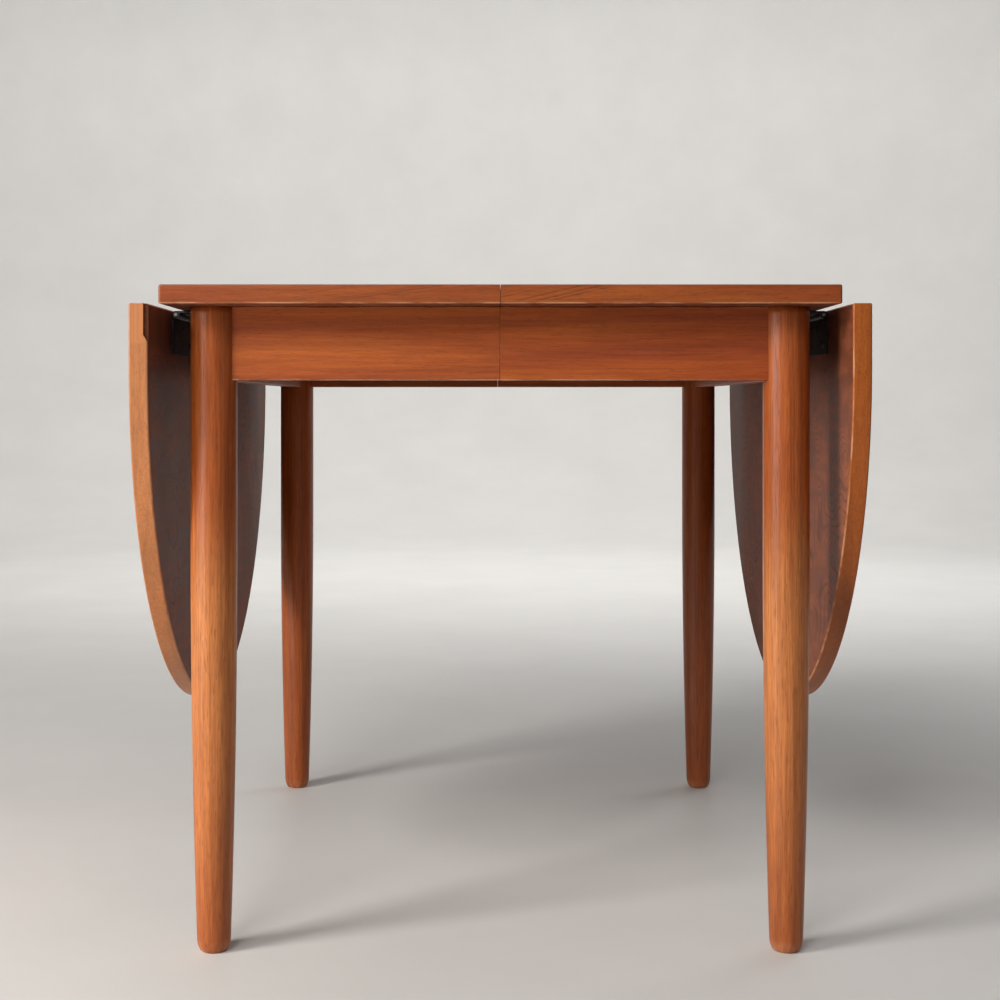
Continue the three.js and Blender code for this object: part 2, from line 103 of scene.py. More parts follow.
class TableColours(bpy.types.PropertyGroup):
    """Colours of the woods and metals, as linear values."""

    teak_light: colour_property("Teak light", "Golden body colour of the teak", (0.40, 0.098, 0.014))
    teak_mid: colour_property("Teak", "Reddish body colour of the teak", (0.29, 0.054, 0.009))
    teak_dark: colour_property("Teak dark", "Late wood of the teak", (0.17, 0.030, 0.010))
    teak_leg: colour_property("Leg teak", "Colour of the legs near the top", (0.34, 0.080, 0.016))
    # Partly the legs' golden tone, partly painted window light on the front legs below the leaf's shadow.
    teak_faded_and_lit: colour_property("Faded and lit teak", "Colour of the legs near the floor", (0.50, 0.180, 0.052))
    # Also paints a highlight on one apron corner.
    teak_worn_and_highlight: colour_property("Worn teak", "Rubbed arrises", (0.66, 0.36, 0.20))
    left_lipping: colour_property("Left lipping", "Edge of the left leaf", (0.48, 0.180, 0.062))
    right_lipping: colour_property("Right lipping", "Edge of the right leaf", (0.34, 0.084, 0.011))
    veneer: colour_property("Balancing veneer", "Veneer under the leaves", (0.20, 0.060, 0.027))
    beech: colour_property("Beech", "Runners and bearers", (0.56, 0.36, 0.19))
    birch: colour_property("Birch", "Corner blocks, pegs and dowels", (0.62, 0.45, 0.26))
    hinge_black: colour_property("Hinge black", "Enamel on the hinges", (0.014, 0.014, 0.016))
    steel: colour_property("Steel", "Pins and screws", (0.50, 0.48, 0.45))
    studio: colour_property("Studio", "Floor and backdrop", (0.69, 0.68, 0.665))


# ---------------------------------------------------------------- node trees


class Wiring:
    """Adds nodes to one tree and joins them up."""

    def __init__(self, tree):
        self.tree = tree
        tree.nodes.clear()

    def add(self, kind, inputs=(), **settings):
        made = self.tree.nodes.new(kind)
        for name, value in settings.items():
            setattr(made, name, value)
        for key, value in dict(inputs).items():
            if isinstance(value, bpy.types.NodeSocket):
                self.tree.links.new(value, made.inputs[key])
            else:
                made.inputs[key].default_value = value
        return made

    def math(self, operation, *values, clamp=False):
        settings = {"operation": operation, "use_clamp": clamp}
        return self.add("ShaderNodeMath", enumerate(values), **settings).outputs[0]

    def vector(self, operation, *values):
        return self.add("ShaderNodeVectorMath", enumerate(values), operation=operation).outputs[0]

    def stretch(self, vector, scale, shift=(0, 0, 0), turn=(0, 0, 0)):
        inputs = {"Vector": vector, "Scale": scale, "Location": shift, "Rotation": turn}
        return self.add("ShaderNodeMapping", inputs).outputs[0]

    def noise(self, vector, scale=1.0, detail=2.0, roughness=0.5):
        inputs = {"Vector": vector, "Scale": scale, "Detail": detail, "Roughness": roughness}
        return self.add("ShaderNodeTexNoise", inputs)

    def between(self, value, low, high):
        """0 below low, 1 above high."""
        inputs = {0: value, 1: low, 2: high}
        return self.add("ShaderNodeMapRange", inputs, interpolation_type="SMOOTHSTEP").outputs[0]

    def mix(self, share, first, second, blend="MIX"):
        made = self.add("ShaderNodeMix", {0: share, 6: first, 7: second}, data_type="RGBA", blend_type=blend)
        return made.outputs[2]

    def part(self, vector, axis):
        return self.add("ShaderNodeSeparateXYZ", {0: vector}).outputs[axis]

    def store(self, geometry, name, value, kind="FLOAT"):
        inputs = {"Geometry": geometry, "Name": name, "Value": value}
        return self.add("GeometryNodeStoreNamedAttribute", inputs, data_type=kind).outputs[0]

    def ramp(self, value, stops):
        made = self.add("ShaderNodeValToRGB", {0: value})
        places = made.color_ramp.elements
        while len(places) < len(stops):
            places.new(0.5)
        for element, (position, colour) in zip(places, stops):
            element.position = position
            element.color = colour
        return made.outputs[0]


def rgba(colour, level=1.0):
    return (*(part * level for part in colour), 1.0)


def empty_material(name):
    material = bpy.data.materials.new(name)
    material.use_nodes = True
    return material, Wiring(material.node_tree)


def finish_material(wires, colour, roughness, height, depth, strength=0.5, **shader):
    """Joins a pattern to the surface: height is a bump depth metres deep."""
    bump = wires.add("ShaderNodeBump", {"Height": height, "Distance": depth, "Strength": strength})
    inputs = {"Base Color": colour, "Roughness": roughness, "Normal": bump.outputs[0], **shader}
    surface = wires.add("ShaderNodeBsdfPrincipled", inputs)
    wires.add("ShaderNodeOutputMaterial", {"Surface": surface.outputs[0]})


# Grain coordinates run along the fibres on x, in metres. A made piece carries them in its "grain"
# attribute. A frame node has none, so its material turns object coordinates instead.
def grain_coordinates(wires, turn):
    if turn is None:
        return wires.add("ShaderNodeAttribute", attribute_name="grain").outputs["Vector"]
    objects = wires.add("ShaderNodeTexCoord").outputs["Object"]
    return wires.stretch(objects, (1, 1, 1), (0.3, 0.17, 0.09), turn)


def tint(wires, value, low, high, reach):
    """A multiplying colour that swings either side of white as value passes from low to high."""
    dark = (1 - reach, 1 - reach * 1.25, 1 - reach * 1.3, 1)
    pale = (1 + reach * 0.9, 1 + reach * 1.05, 1 + reach * 1.1, 1)
    return wires.ramp(wires.between(value, low, high), [(0, dark), (1, pale)])


def wood(name, palette, turn=None, tilt=(0.0, 0.01), sway=0.002, rings=90, ring_share=0.35, lines=0.0,
         patch=(1.8, 18), patch_share=0.65, streak=0.12, fibre=0.09, pores=0.36, pore=(110, 1100),
         rough=0.42, gloss=0.34, worn=None, faded_and_lit=None):
    """Sawn wood cut from a log whose heart lies along x. palette is dark, mid and light."""
    dark, mid, light = palette
    _, wires = empty_material(name)
    grain = grain_coordinates(wires, turn)

    # The growth rings sway a little along the log, and the cut crosses them at a shallow angle.
    drift = wires.noise(wires.stretch(grain, (1.6, 7, 7)), detail=2).outputs[1]
    drift = wires.vector("SUBTRACT", drift, (0.5, 0.5, 0.5))
    drift = wires.vector("MULTIPLY", drift, (0, sway * 6, sway * 6))
    log = wires.stretch(grain, (1, 1, 1), (0, 0.13, 0.06), (0, *tilt))
    across = wires.vector("MULTIPLY", wires.vector("ADD", log, drift), (0, 1, 1))
    radius = wires.add("ShaderNodeVectorMath", {0: across}, operation="LENGTH").outputs["Value"]
    ring = wires.add(
        "ShaderNodeTexNoise",
        {"W": wires.math("MULTIPLY", radius, rings), "Scale": 1.0, "Detail": 2.0, "Roughness": 0.6},
        noise_dimensions="1D",
    ).outputs[0]

    broad = wires.noise(wires.stretch(grain, (patch[0], patch[1], patch[1]), (3, 1, 2)), detail=2).outputs[0]
    patches = wires.math("MULTIPLY", wires.between(broad, 0.36, 0.64), patch_share)
    colour = wires.mix(patches, rgba(mid), rgba(light))
    # On the legs this paints a pool of window light, mixed with a golden tone.
    if faded_and_lit is not None:
        share = wires.add("ShaderNodeAttribute", attribute_name="fade_and_light").outputs["Fac"]
        colour = wires.mix(wires.math("MULTIPLY", share, 0.8), colour, rgba(faded_and_lit))
    late = wires.math("MULTIPLY", wires.between(ring, 0.46, 0.66), ring_share)
    colour = wires.mix(late, colour, rgba(dark))
    if lines:
        crossing = wires.math("ABSOLUTE", wires.math("SUBTRACT", ring, 0.5))
        thin = wires.math("SUBTRACT", 1.0, wires.between(crossing, 0.002, 0.012))
        broken = wires.noise(wires.stretch(grain, (9, 60, 60)), detail=2).outputs[0]
        thin = wires.math("MULTIPLY", thin, wires.between(broken, 0.40, 0.62))
        colour = wires.mix(wires.math("MULTIPLY", thin, lines), colour, rgba(dark, 0.45))

    ribbons = wires.noise(wires.stretch(grain, (7, 230, 230)), detail=3, roughness=0.6).outputs[0]
    strands = wires.noise(wires.stretch(grain, (30, 800, 800)), detail=2, roughness=0.6).outputs[0]
    flecks = wires.noise(wires.stretch(grain, (pore[0], pore[1], pore[1])), detail=1).outputs[0]
    flecks = wires.between(flecks, 0.58, 0.72)
    colour = wires.mix(1.0, colour, tint(wires, ribbons, 0.30, 0.70, streak), "MULTIPLY")
    colour = wires.mix(1.0, colour, tint(wires, strands, 0.30, 0.70, fibre), "MULTIPLY")
    colour = wires.mix(wires.math("MULTIPLY", flecks, pores), colour, rgba(dark, 0.7))
    roughness = wires.math("MULTIPLY_ADD", strands, 0.18, rough - 0.09)
    roughness = wires.math("MULTIPLY_ADD", flecks, 0.12, roughness)

    # The worn colour paints real rubbed arrises, and also a painted highlight on one apron corner.
    if worn is not None:
        edge = wires.add("ShaderNodeAttribute", attribute_name="wear").outputs["Fac"]
        rub = wires.noise(wires.stretch(grain, (22, 70, 70)), detail=3, roughness=0.65).outputs[0]
        edge = wires.math("MULTIPLY", edge, wires.between(rub, 0.34, 0.62), clamp=True)
        colour = wires.mix(wires.math("MULTIPLY", edge, 0.7), colour, rgba(worn))
        roughness = wires.math("MULTIPLY_ADD", edge, 0.15, roughness)

    height = wires.math("MULTIPLY_ADD", strands, 0.5, wires.math("MULTIPLY", flecks, -0.8))
    finish = {"Specular IOR Level": gloss}
    finish_material(wires, colour, roughness, height, 0.0003, 0.4, **finish)


def curly_veneer(name, colour):
    """Dark veneer with curling late wood lines and a cross ripple."""
    _, wires = empty_material(name)
    grain = grain_coordinates(wires, None)
    bend = wires.noise(wires.stretch(grain, (6, 6, 6)), detail=1.5, roughness=0.4).outputs[0]
    lift = wires.math("MULTIPLY_ADD", bend, 46.0, wires.math("MULTIPLY", wires.part(grain, 0), 30.0))
    fold = wires.math("FRACT", lift)
    curl = wires.math("SUBTRACT", 1.0, wires.between(fold, 0.03, 0.30))
    gaps = wires.noise(wires.stretch(grain, (16, 24, 24)), detail=2).outputs[0]
    curl = wires.math("MULTIPLY", curl, wires.between(gaps, 0.34, 0.60))
    ripple = wires.noise(wires.stretch(grain, (85, 16, 16)), detail=2, roughness=0.6).outputs[0]
    broad = wires.noise(wires.stretch(grain, (4, 7, 7)), detail=3).outputs[0]
    strands = wires.noise(wires.stretch(grain, (30, 700, 700)), detail=2).outputs[0]
    body = wires.ramp(wires.between(broad, 0.35, 0.65), [(0, rgba(colour, 0.85)), (1, rgba(colour, 1.15))])
    body = wires.mix(1.0, body, tint(wires, ripple, 0.34, 0.66, 0.20), "MULTIPLY")
    body = wires.mix(1.0, body, tint(wires, strands, 0.30, 0.70, 0.14), "MULTIPLY")
    body = wires.mix(wires.math("MULTIPLY", curl, 0.72), body, rgba(colour, 0.3))
    edge = wires.add("ShaderNodeAttribute", attribute_name="wear").outputs["Fac"]
    body = wires.mix(wires.math("MULTIPLY", edge, 0.6), body, rgba(colour, 2.2))
    roughness = wires.math("MULTIPLY_ADD", ripple, 0.22, 0.42)
    height = wires.math("MULTIPLY_ADD", curl, -0.6, wires.math("MULTIPLY", ripple, 0.5))
    finish = {"Specular IOR Level": 0.12}
    finish_material(wires, body, roughness, height, 0.0004, 0.4, **finish)


def enamel(name, colour, metallic, rough, scratch):
    """Painted or bare metal with fine scratches and dull patches."""
    _, wires = empty_material(name)
    objects = wires.add("ShaderNodeTexCoord").outputs["Object"]
    dull = wires.noise(objects, 180, 4, 0.6).outputs[0]
    scuff = wires.noise(wires.stretch(objects, (300, 900, 2600)), detail=3).outputs[0]
    rubbed = wires.between(scuff, 0.58, 0.75)
    shade = wires.ramp(dull, [(0.3, rgba(colour, 0.7)), (0.7, rgba(colour, 1.3))])
    shade = wires.mix(wires.math("MULTIPLY", rubbed, 0.35), shade, rgba(scratch))
    roughness = wires.math("MULTIPLY_ADD", dull, 0.3, rough - 0.1)
    finish_material(wires, shade, roughness, scuff, 0.0001, 0.3, Metallic=metallic)


def material(name):
    return bpy.data.materials[name]


# ---------------------------------------------------------------- mesh helpers


SHARP_ANGLE = math.radians(32)


def inset(points, arrises, share):
    """Moves each side of a counter-clockwise outline inwards by its own arris times share."""
    moved = []
    count = len(points)
    normals = []
    for place in range(count):
        run = (points[(place + 1) % count] - points[place]).normalized()
        normals.append(Vector((-run.y, run.x)))
    for place in range(count):
        before, after = normals[place - 1], normals[place]
        near, far = arrises[place - 1] * share, arrises[place] * share
        cosine = before.dot(after)
        if cosine > 0.9999:
            moved.append(points[place] + after * far)
            continue
        step = near * (before - after * cosine) + far * (after - before * cosine)
        moved.append(points[place] + step / (1 - cosine * cosine))
    return moved


ARRIS_STEPS = 4


def arris_rings(thickness, arris, worn):
    """Each ring's inset share, height and wear. worn holds the lower and upper arris's wear."""
    rings = []
    for step in range(ARRIS_STEPS + 1):
        angle = step / ARRIS_STEPS * math.pi / 2
        rings.append((1 - math.sin(angle), arris * (1 - math.cos(angle)), math.sin(2 * angle)))
    lower = [(share, height, wear * worn[0]) for share, height, wear in rings]
    upper = [(share, thickness - height, wear * worn[1]) for share, height, wear in reversed(rings)]
    return lower + upper


def new_mesh(name, bm, grain, materials, place=None):
    """Makes an object of bm and gives its points their grain coordinates. place puts bm in the frame."""
    mesh = bpy.data.meshes.new(name)
    if place is not None:
        bmesh.ops.transform(bm, matrix=place, verts=bm.verts)
    bmesh.ops.recalc_face_normals(bm, faces=bm.faces)
    bm.to_mesh(mesh)
    bm.free()
    values = mesh.attributes.new("grain", "FLOAT_VECTOR", "POINT")
    for vertex, value in zip(mesh.vertices, values.data):
        value.vector = grain(vertex.co)
    mesh.set_sharp_from_angle(angle=SHARP_ANGLE)
    for slot in materials:
        mesh.materials.append(material(slot))
    made = bpy.data.objects.new(name, mesh)
    bpy.context.scene.collection.objects.link(made)
    return made


def plate(outline, arrises, thickness, faces, worn):
    """A flat panel with rounded arrises. faces gives the lower, edge and upper material numbers, and
    worn the wear of the lower and upper arris."""
    bm = bmesh.new()
    wear = bm.verts.layers.float.new("wear")
    arris = max(arrises)
    rings = []
    for share, height, rubbed in arris_rings(thickness, arris, worn):
        ring = []
        for point in inset(outline, arrises, share):
            vertex = bm.verts.new((point.x, point.y, height))
            vertex[wear] = rubbed
            ring.append(vertex)
        rings.append(ring)
    lower, edge, upper = faces
    bm.faces.new(list(reversed(rings[0]))).material_index = lower
    bm.faces.new(rings[-1]).material_index = upper
    for below, above in zip(rings, rings[1:]):
        for place in range(len(below)):
            after = (place + 1) % len(below)
            face = bm.faces.new((below[place], below[after], above[after], above[place]))
            face.material_index = edge
            face.smooth = True
    return bm


def saw_and_shade_seam(piece):
    """Gives the faces that meet at the seam their matt end grain, darkened further with painted shade of the
    gap.
    """
    mesh = piece.data
    mesh.materials.append(material("teak_sawn_end_and_shade"))
    for face in mesh.polygons:
        if abs(face.center.x) < SEAM_FACE_REACH and abs(face.normal.x) > 0.9:
            face.material_index = len(mesh.materials) - 1


def carve(piece, outline, depth, place, number):
    """Cuts a prism out of a piece. number is the material of the cut faces."""
    bm = bmesh.new()
    rings = [[bm.verts.new(place @ Vector((*point, height))) for point in outline] for height in depth]
    bm.faces.new(rings[0])
    bm.faces.new(list(reversed(rings[1])))
    for index in range(len(outline)):
        after = (index + 1) % len(outline)
        bm.faces.new((rings[0][index], rings[1][index], rings[1][after], rings[0][after]))
    for face in bm.faces:
        face.material_index = number
    bmesh.ops.recalc_face_normals(bm, faces=bm.faces)
    mesh = bpy.data.meshes.new("cutter")
    bm.to_mesh(mesh)
    bm.free()
    for slot in piece.data.materials:
        mesh.materials.append(slot)
    cutter = bpy.data.objects.new("cutter", mesh)
    bpy.context.scene.collection.objects.link(cutter)
    cut = piece.modifiers.new("relief", "BOOLEAN")
    cut.object = cutter
    cut.operation = "DIFFERENCE"
    cut.solver = "EXACT"
    name = piece.data.name
    piece.data = bpy.data.meshes.new_from_object(piece.evaluated_get(bpy.context.evaluated_depsgraph_get()))
    piece.modifiers.remove(cut)
    piece.data.set_sharp_from_angle(angle=SHARP_ANGLE)
    piece.data.name = name
    bpy.data.objects.remove(cutter)
    bpy.data.meshes.remove(mesh)


def hold_flats(piece):
    """Keeps broad faces flat where they run into rounded arrises."""
    weighted = piece.modifiers.new("flats", "WEIGHTED_NORMAL")
    weighted.weight = 100
    weighted.keep_sharp = True


def carry_over(nodes, material_name):
    """Gives frame nodes a finish. Their shapes are right as they are."""
    for name in nodes:
        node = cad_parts[name]
        node.data.materials.clear()
        node.data.materials.append(material(material_name))


def settle(piece, body, slot, *nodes):
    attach(piece, body)
    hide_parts(*nodes)


# ---------------------------------------------------------------- finishes

# How dark, middling and light each wood runs, as shares of its colour.
LIPPING_LEVELS = (0.6, 0.85, 1.1)
LEG_LEVELS = (0.5, 0.85, 1.1)
BEECH_LEVELS = (0.6, 0.85, 1.05)
BIRCH_LEVELS = (0.7, 0.88, 1.05)
# Painted shade: darkens the top's edge, which gets more light than the aprons.
EDGE_SHADE_TINT = (0.83, 0.92, 0.95)


def shades(colour, levels):
    return [rgba(colour, level)[:3] for level in levels]


class TABLE_OT_finishes(bpy.types.Operator):
    """Makes the woods and metals"""

    bl_idname = "table.finishes"
    bl_label = "Finishes"

    def execute(self, context):
        tone = context.scene.table_colours
        teak = (tone.teak_dark, tone.teak_mid, tone.teak_light)
        left_lip = shades(tone.left_lipping, LIPPING_LEVELS)
        right_lip = shades(tone.right_lipping, LIPPING_LEVELS)
        beech = shades(tone.beech, BEECH_LEVELS)
        birch = shades(tone.birch, BIRCH_LEVELS)
        across = (0, 0, math.pi / 2)
        worn = tone.teak_worn_and_highlight
        wood("teak_apron", teak, worn=worn)
        wood("teak_end_apron", teak, turn=across)
        # The seam faces: dark end grain plus painted shade of the gap.
        sawn_and_shaded = [tuple(level * SAWN_AND_SHADE_DARKENING for level in colour) for colour in teak]
        wood("teak_sawn_end_and_shade", sawn_and_shaded, rough=0.85, gloss=0.02)
        # Painted shade: a darker copy of the teak for the top's edge, which catches more light.
        edge = [tuple(part * share for part, share in zip(colour, EDGE_SHADE_TINT)) for colour in teak]
        wood("teak_edge_shaded", edge, tilt=(0.0, 0.05), rings=110, lines=0.55, ring_share=0.12,
             patch=(3, 30), patch_share=0.35, pores=0.45, fibre=0.11, worn=worn)
        wood("teak_face", teak, tilt=(0.01, 0.04), rings=60, sway=0.008, lines=0.3, rough=0.38)
        leg = shades(tone.teak_leg, LEG_LEVELS)
        wood("teak_leg", leg, tilt=(0.0, 0.012), rings=90, ring_share=0.28, pores=0.42,
             pore=(60, 800), streak=0.17, fibre=0.13, rough=0.36, faded_and_lit=tuple(tone.teak_faded_and_lit), worn=worn)
        wood("left_lipping", left_lip, pores=0.5, pore=(350, 900), streak=0.08, worn=worn)
        wood("right_lipping", right_lip, pores=0.5, pore=(350, 900), streak=0.08, worn=worn)
        curly_veneer("curly_veneer", tuple(tone.veneer))
        wood("beech_runner", beech, turn=(0, 0, 0), rings=60, rough=0.6, pores=0.35, pore=(300, 1100))
        wood("beech_cross", beech, turn=across, rings=60, rough=0.6, pores=0.35, pore=(300, 1100))
        wood("birch_block", birch, turn=across, rings=60, rough=0.65, pores=0.2, pore=(300, 1100))
        enamel("black_enamel", tone.hinge_black, 0.0, 0.42, (0.10, 0.09, 0.08))
        enamel("drawn_steel", tone.steel, 1.0, 0.38, (0.7, 0.68, 0.64))
        return {"FINISHED"}


# ---------------------------------------------------------------- top and leaves

CORNER_STEPS = 4


def top_outline(side, reach, width, corner):
    """Half of the top, counter-clockwise, with rounded outer corners and square seam corners."""
    points = [Vector((side * SEAM_GAP, -width)), Vector((side * SEAM_GAP, width))]
    for sign in (1, -1):
        for step in range(CORNER_STEPS + 1):
            turn = step / CORNER_STEPS * math.pi / 2
            turn = turn if sign < 0 else math.pi / 2 - turn
            x = reach - corner + corner * math.cos(turn)
            points.append(Vector((side * x, sign * (width - corner + corner * math.sin(turn)))))
    if side > 0:
        points.reverse()
    return points


class TABLE_OT_top(bpy.types.Operator):
    """Makes the two halves of the top"""

    bl_idname = "table.top"
    bl_label = "Top"

    def execute(self, context):
        sizes = context.scene.table_sizes
        for half, side in HALVES:
            low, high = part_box(f"{half}_top")
            outline = top_outline(side, max(-low.x, high.x), high.y, sizes.top_corner)
            arrises = [sizes.panel_arris] * len(outline)
            arrises[-2 if side > 0 else 0] = sizes.seam_arris
            bm = plate(outline, arrises, high.z - low.z, (1, 0, 2), (1.0, 0.1))
            shift = Vector((-0.16 - 0.96 * side, -0.05 * side, -0.012 * side - low.z))
            made = new_mesh(
                f"{half}_top_panel",
                bm,
                lambda co, shift=shift: co + shift,
                ("teak_edge_shaded", "curly_veneer", "teak_face"),
                Matrix.Translation((0, 0, low.z)),
            )
            saw_and_shade_seam(made)
            hold_flats(made)
            settle(made, f"{half}_frame", "top_teak", f"{half}_top")
        return {"FINISHED"}


LEAF_ARC_STEPS = 128
SHOULDER_STEPS = 6
RELIEF_SLACK = 0.002


def leaf_outline():
    """The leaf flat, butt edge on the line y = 0 and the half circle towards -y."""
    side = LEAF_HIGH.y
    points = [Vector((side, 0)), Vector((-side, 0))]
    drops = [-LEAF_SHOULDER * step / SHOULDER_STEPS for step in range(1, SHOULDER_STEPS + 1)]
    points += [Vector((-side, drop)) for drop in drops]
    for step in range(1, LEAF_ARC_STEPS + 1):
        angle = math.pi * (1 + step / LEAF_ARC_STEPS)
        points.append(Vector((side * math.cos(angle), -LEAF_SHOULDER + side * math.sin(angle))))
    points += [Vector((side, drop)) for drop in reversed(drops[:-1])]
    return points


class TABLE_OT_leaves(bpy.types.Operator):
    """Makes the two hanging leaves"""

    bl_idname = "table.leaves"
    bl_label = "Leaves"

    def execute(self, context):
        sizes = context.scene.table_sizes
        for half, side in HALVES:
            low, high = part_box(f"{half}_leaf")
            outline = leaf_outline()
            arrises = [sizes.panel_arris] * len(outline)
            bm = plate(outline, arrises, LEAF_THICKNESS, (2, 0, 1), (0.8, 0.15))
            # Local x, y and z go to the frame's y, z and x, mirrored in y on the left.
            stand = Matrix(((0, 0, side, 0), (side, 0, 0, 0), (0, 1, 0, 0), (0, 0, 0, 1)))
            inner = low.x if half == "right" else high.x
            shift = Vector((0.4 * side, 0.13, 0.02 * side))
            made = new_mesh(
                f"{half}_leaf_panel",
                bm,
                lambda co, shift=shift: Vector((co.z, co.y, co.x)) + shift,
                (f"{half}_lipping", "teak_face", "curly_veneer"),
                Matrix.Translation((inner, 0, high.z)) @ stand,
            )
            if half == "left":
                # A relief down the near edge, with a slanted stop.
                slack = RELIEF_SLACK
                relief = (
                    (slack, slack),
                    (slack, -RELIEF_HEIGHT),
                    (-RELIEF_WIDTH, RELIEF_SLANT - RELIEF_HEIGHT),
                    (-RELIEF_WIDTH, slack),
                )
                corner = Matrix(((1, 0, 0, inner), (0, 0, 1, low.y), (0, 1, 0, high.z), (0, 0, 0, 1)))
                carve(made, relief, (-slack, RELIEF_WIDTH), corner, 2)
            hold_flats(made)
            settle(made, f"{half}_drop_leaf", "leaf_teak", f"{half}_leaf")
        return {"FINISHED"}


# ---------------------------------------------------------------- legs

LEG_SIDES = 96
LEG_RINGS = 150
LEG_CROWDING = 1.6
FOOT_WEAR = 0.5
# The faded part of a leg, partly a golden tone and partly painted window light below the leaf's shadow, as
# shares of its height: where it ends above and how it eases in below.
FADE_AND_LIGHT_ABOVE = (0.74, 0.52)
FADE_AND_LIGHT_BELOW = (-0.12, 0.45)


def close_tree(wires, geometry, finish):
    """Ends a tree in one plain mesh with one finish."""
    whole = wires.add("GeometryNodeRealizeInstances", {"Geometry": geometry})
    faced = wires.add("GeometryNodeSetMaterial", {"Geometry": whole.outputs[0], "Material": finish})
    wires.add("NodeGroupOutput", {"Geometry": faced.outputs[0]})


def leg_tree():
    """Turns a leg: the radius follows the height, with the rings crowded towards the foot."""
    tree = bpy.data.node_groups.new("turned_leg", "GeometryNodeTree")
    face = tree.interface
    for name in ("Height", "Radius", "Ankle", "Foot", "Foot height", "Straight", "Fading and light"):
        face.new_socket(name, in_out="INPUT", socket_type="NodeSocketFloat")
    face.new_socket("Centre", in_out="INPUT", socket_type="NodeSocketVector")
    face.new_socket("Log", in_out="INPUT", socket_type="NodeSocketVector")
    face.new_socket("Material", in_out="INPUT", socket_type="NodeSocketMaterial")
    face.new_socket("Geometry", in_out="OUTPUT", socket_type="NodeSocketGeometry")
    wires = Wiring(tree)
    given = wires.add("NodeGroupInput").outputs
    blank = wires.add(
        "GeometryNodeMeshCylinder",
        {"Vertices": LEG_SIDES, "Side Segments": LEG_RINGS, "Radius": 1.0, "Depth": 1.0},
    )
    rounded = wires.add(
        "GeometryNodeSetShadeSmooth", {"Geometry": blank.outputs["Mesh"], "Selection": blank.outputs["Side"]}
    )
    position = wires.add("GeometryNodeInputPosition").outputs[0]
    part = wires.add("ShaderNodeSeparateXYZ", {0: position}).outputs
    rise = wires.math("ADD", part["Z"], 0.5, clamp=True)
    z = wires.math("MULTIPLY", wires.math("POWER", rise, LEG_CROWDING), given["Height"])
    taper_top = wires.math("SUBTRACT", given["Height"], given["Straight"])
    taper_run = wires.math("SUBTRACT", taper_top, given["Foot height"])
    fall = wires.math("DIVIDE", wires.math("SUBTRACT", taper_top, z), taper_run, clamp=True)
    thinning = wires.math("SUBTRACT", given["Radius"], given["Ankle"])
    thinned = wires.math("MULTIPLY", thinning, wires.math("POWER", fall, 2.0))
    tapered = wires.math("SUBTRACT", given["Radius"], thinned)
    dip = wires.math("SUBTRACT", given["Foot height"], z)
    dip = wires.math("DIVIDE", dip, given["Foot height"], clamp=True)
    quarter = wires.math("SQRT", wires.math("SUBTRACT", 1.0, wires.math("POWER", dip, 2.0)))
    tuck = wires.math("SUBTRACT", given["Ankle"], given["Foot"])
    tucked = wires.math("MULTIPLY", tuck, wires.math("SUBTRACT", 1.0, quarter))
    radius = wires.math("SUBTRACT", tapered, tucked)
    placed = wires.add(
        "ShaderNodeCombineXYZ",
        {0: wires.math("MULTIPLY", part["X"], radius), 1: wires.math("MULTIPLY", part["Y"], radius), 2: z},
    )
    turned = wires.add(
        "GeometryNodeSetPosition", {"Geometry": rounded.outputs[0], "Position": placed.outputs[0]}
    )
    # A position read after the turning is the turned one.
    here = wires.add("ShaderNodeSeparateXYZ", {0: wires.add("GeometryNodeInputPosition").outputs[0]}).outputs
    along = wires.add("ShaderNodeCombineXYZ", {0: here["Z"], 1: here["X"], 2: here["Y"]})
    grain = wires.vector("ADD", along.outputs[0], given["Log"])
    grained = wires.store(turned.outputs[0], "grain", grain, "FLOAT_VECTOR")
    above = wires.math("DIVIDE", here["Z"], given["Foot height"])
    foot_wear = wires.math("MULTIPLY", wires.math("SUBTRACT", 1.0, above, clamp=True), FOOT_WEAR)
    scuffed = wires.store(grained, "wear", foot_wear)
    # A painted pool of window light with a golden tone, on the lower middle of the leg.
    share = wires.math("DIVIDE", here["Z"], given["Height"])
    fade_and_light_share = wires.math("MULTIPLY", wires.between(share, *FADE_AND_LIGHT_ABOVE), wires.between(share, *FADE_AND_LIGHT_BELOW))
    fade_and_light_share = wires.math("MULTIPLY", fade_and_light_share, given["Fading and light"])
    faded_and_lit = wires.store(scuffed, "fade_and_light", fade_and_light_share)
    moved = wires.add("GeometryNodeSetPosition", {"Geometry": faded_and_lit, "Offset": given["Centre"]})
    close_tree(wires, moved.outputs[0], given["Material"])
    return tree


def grow(name, tree, values, host_mesh=None):
    """Runs a geometry tree with these inputs and keeps the result as a plain mesh."""
    host = bpy.data.objects.new(name, host_mesh or bpy.data.meshes.new(name))
    bpy.context.scene.collection.objects.link(host)
    modifier = host.modifiers.new("shape", "NODES")
    modifier.node_group = tree
    sockets = {item.name: item.identifier for item in tree.interface.items_tree if item.in_out == "INPUT"}
    for key, value in values.items():
        modifier[sockets[key]] = value
    evaluated = host.evaluated_get(bpy.context.evaluated_depsgraph_get())
    result = bpy.data.meshes.new_from_object(evaluated)
    host.modifiers.clear()
    host.data = result
    result.name = name
    return host


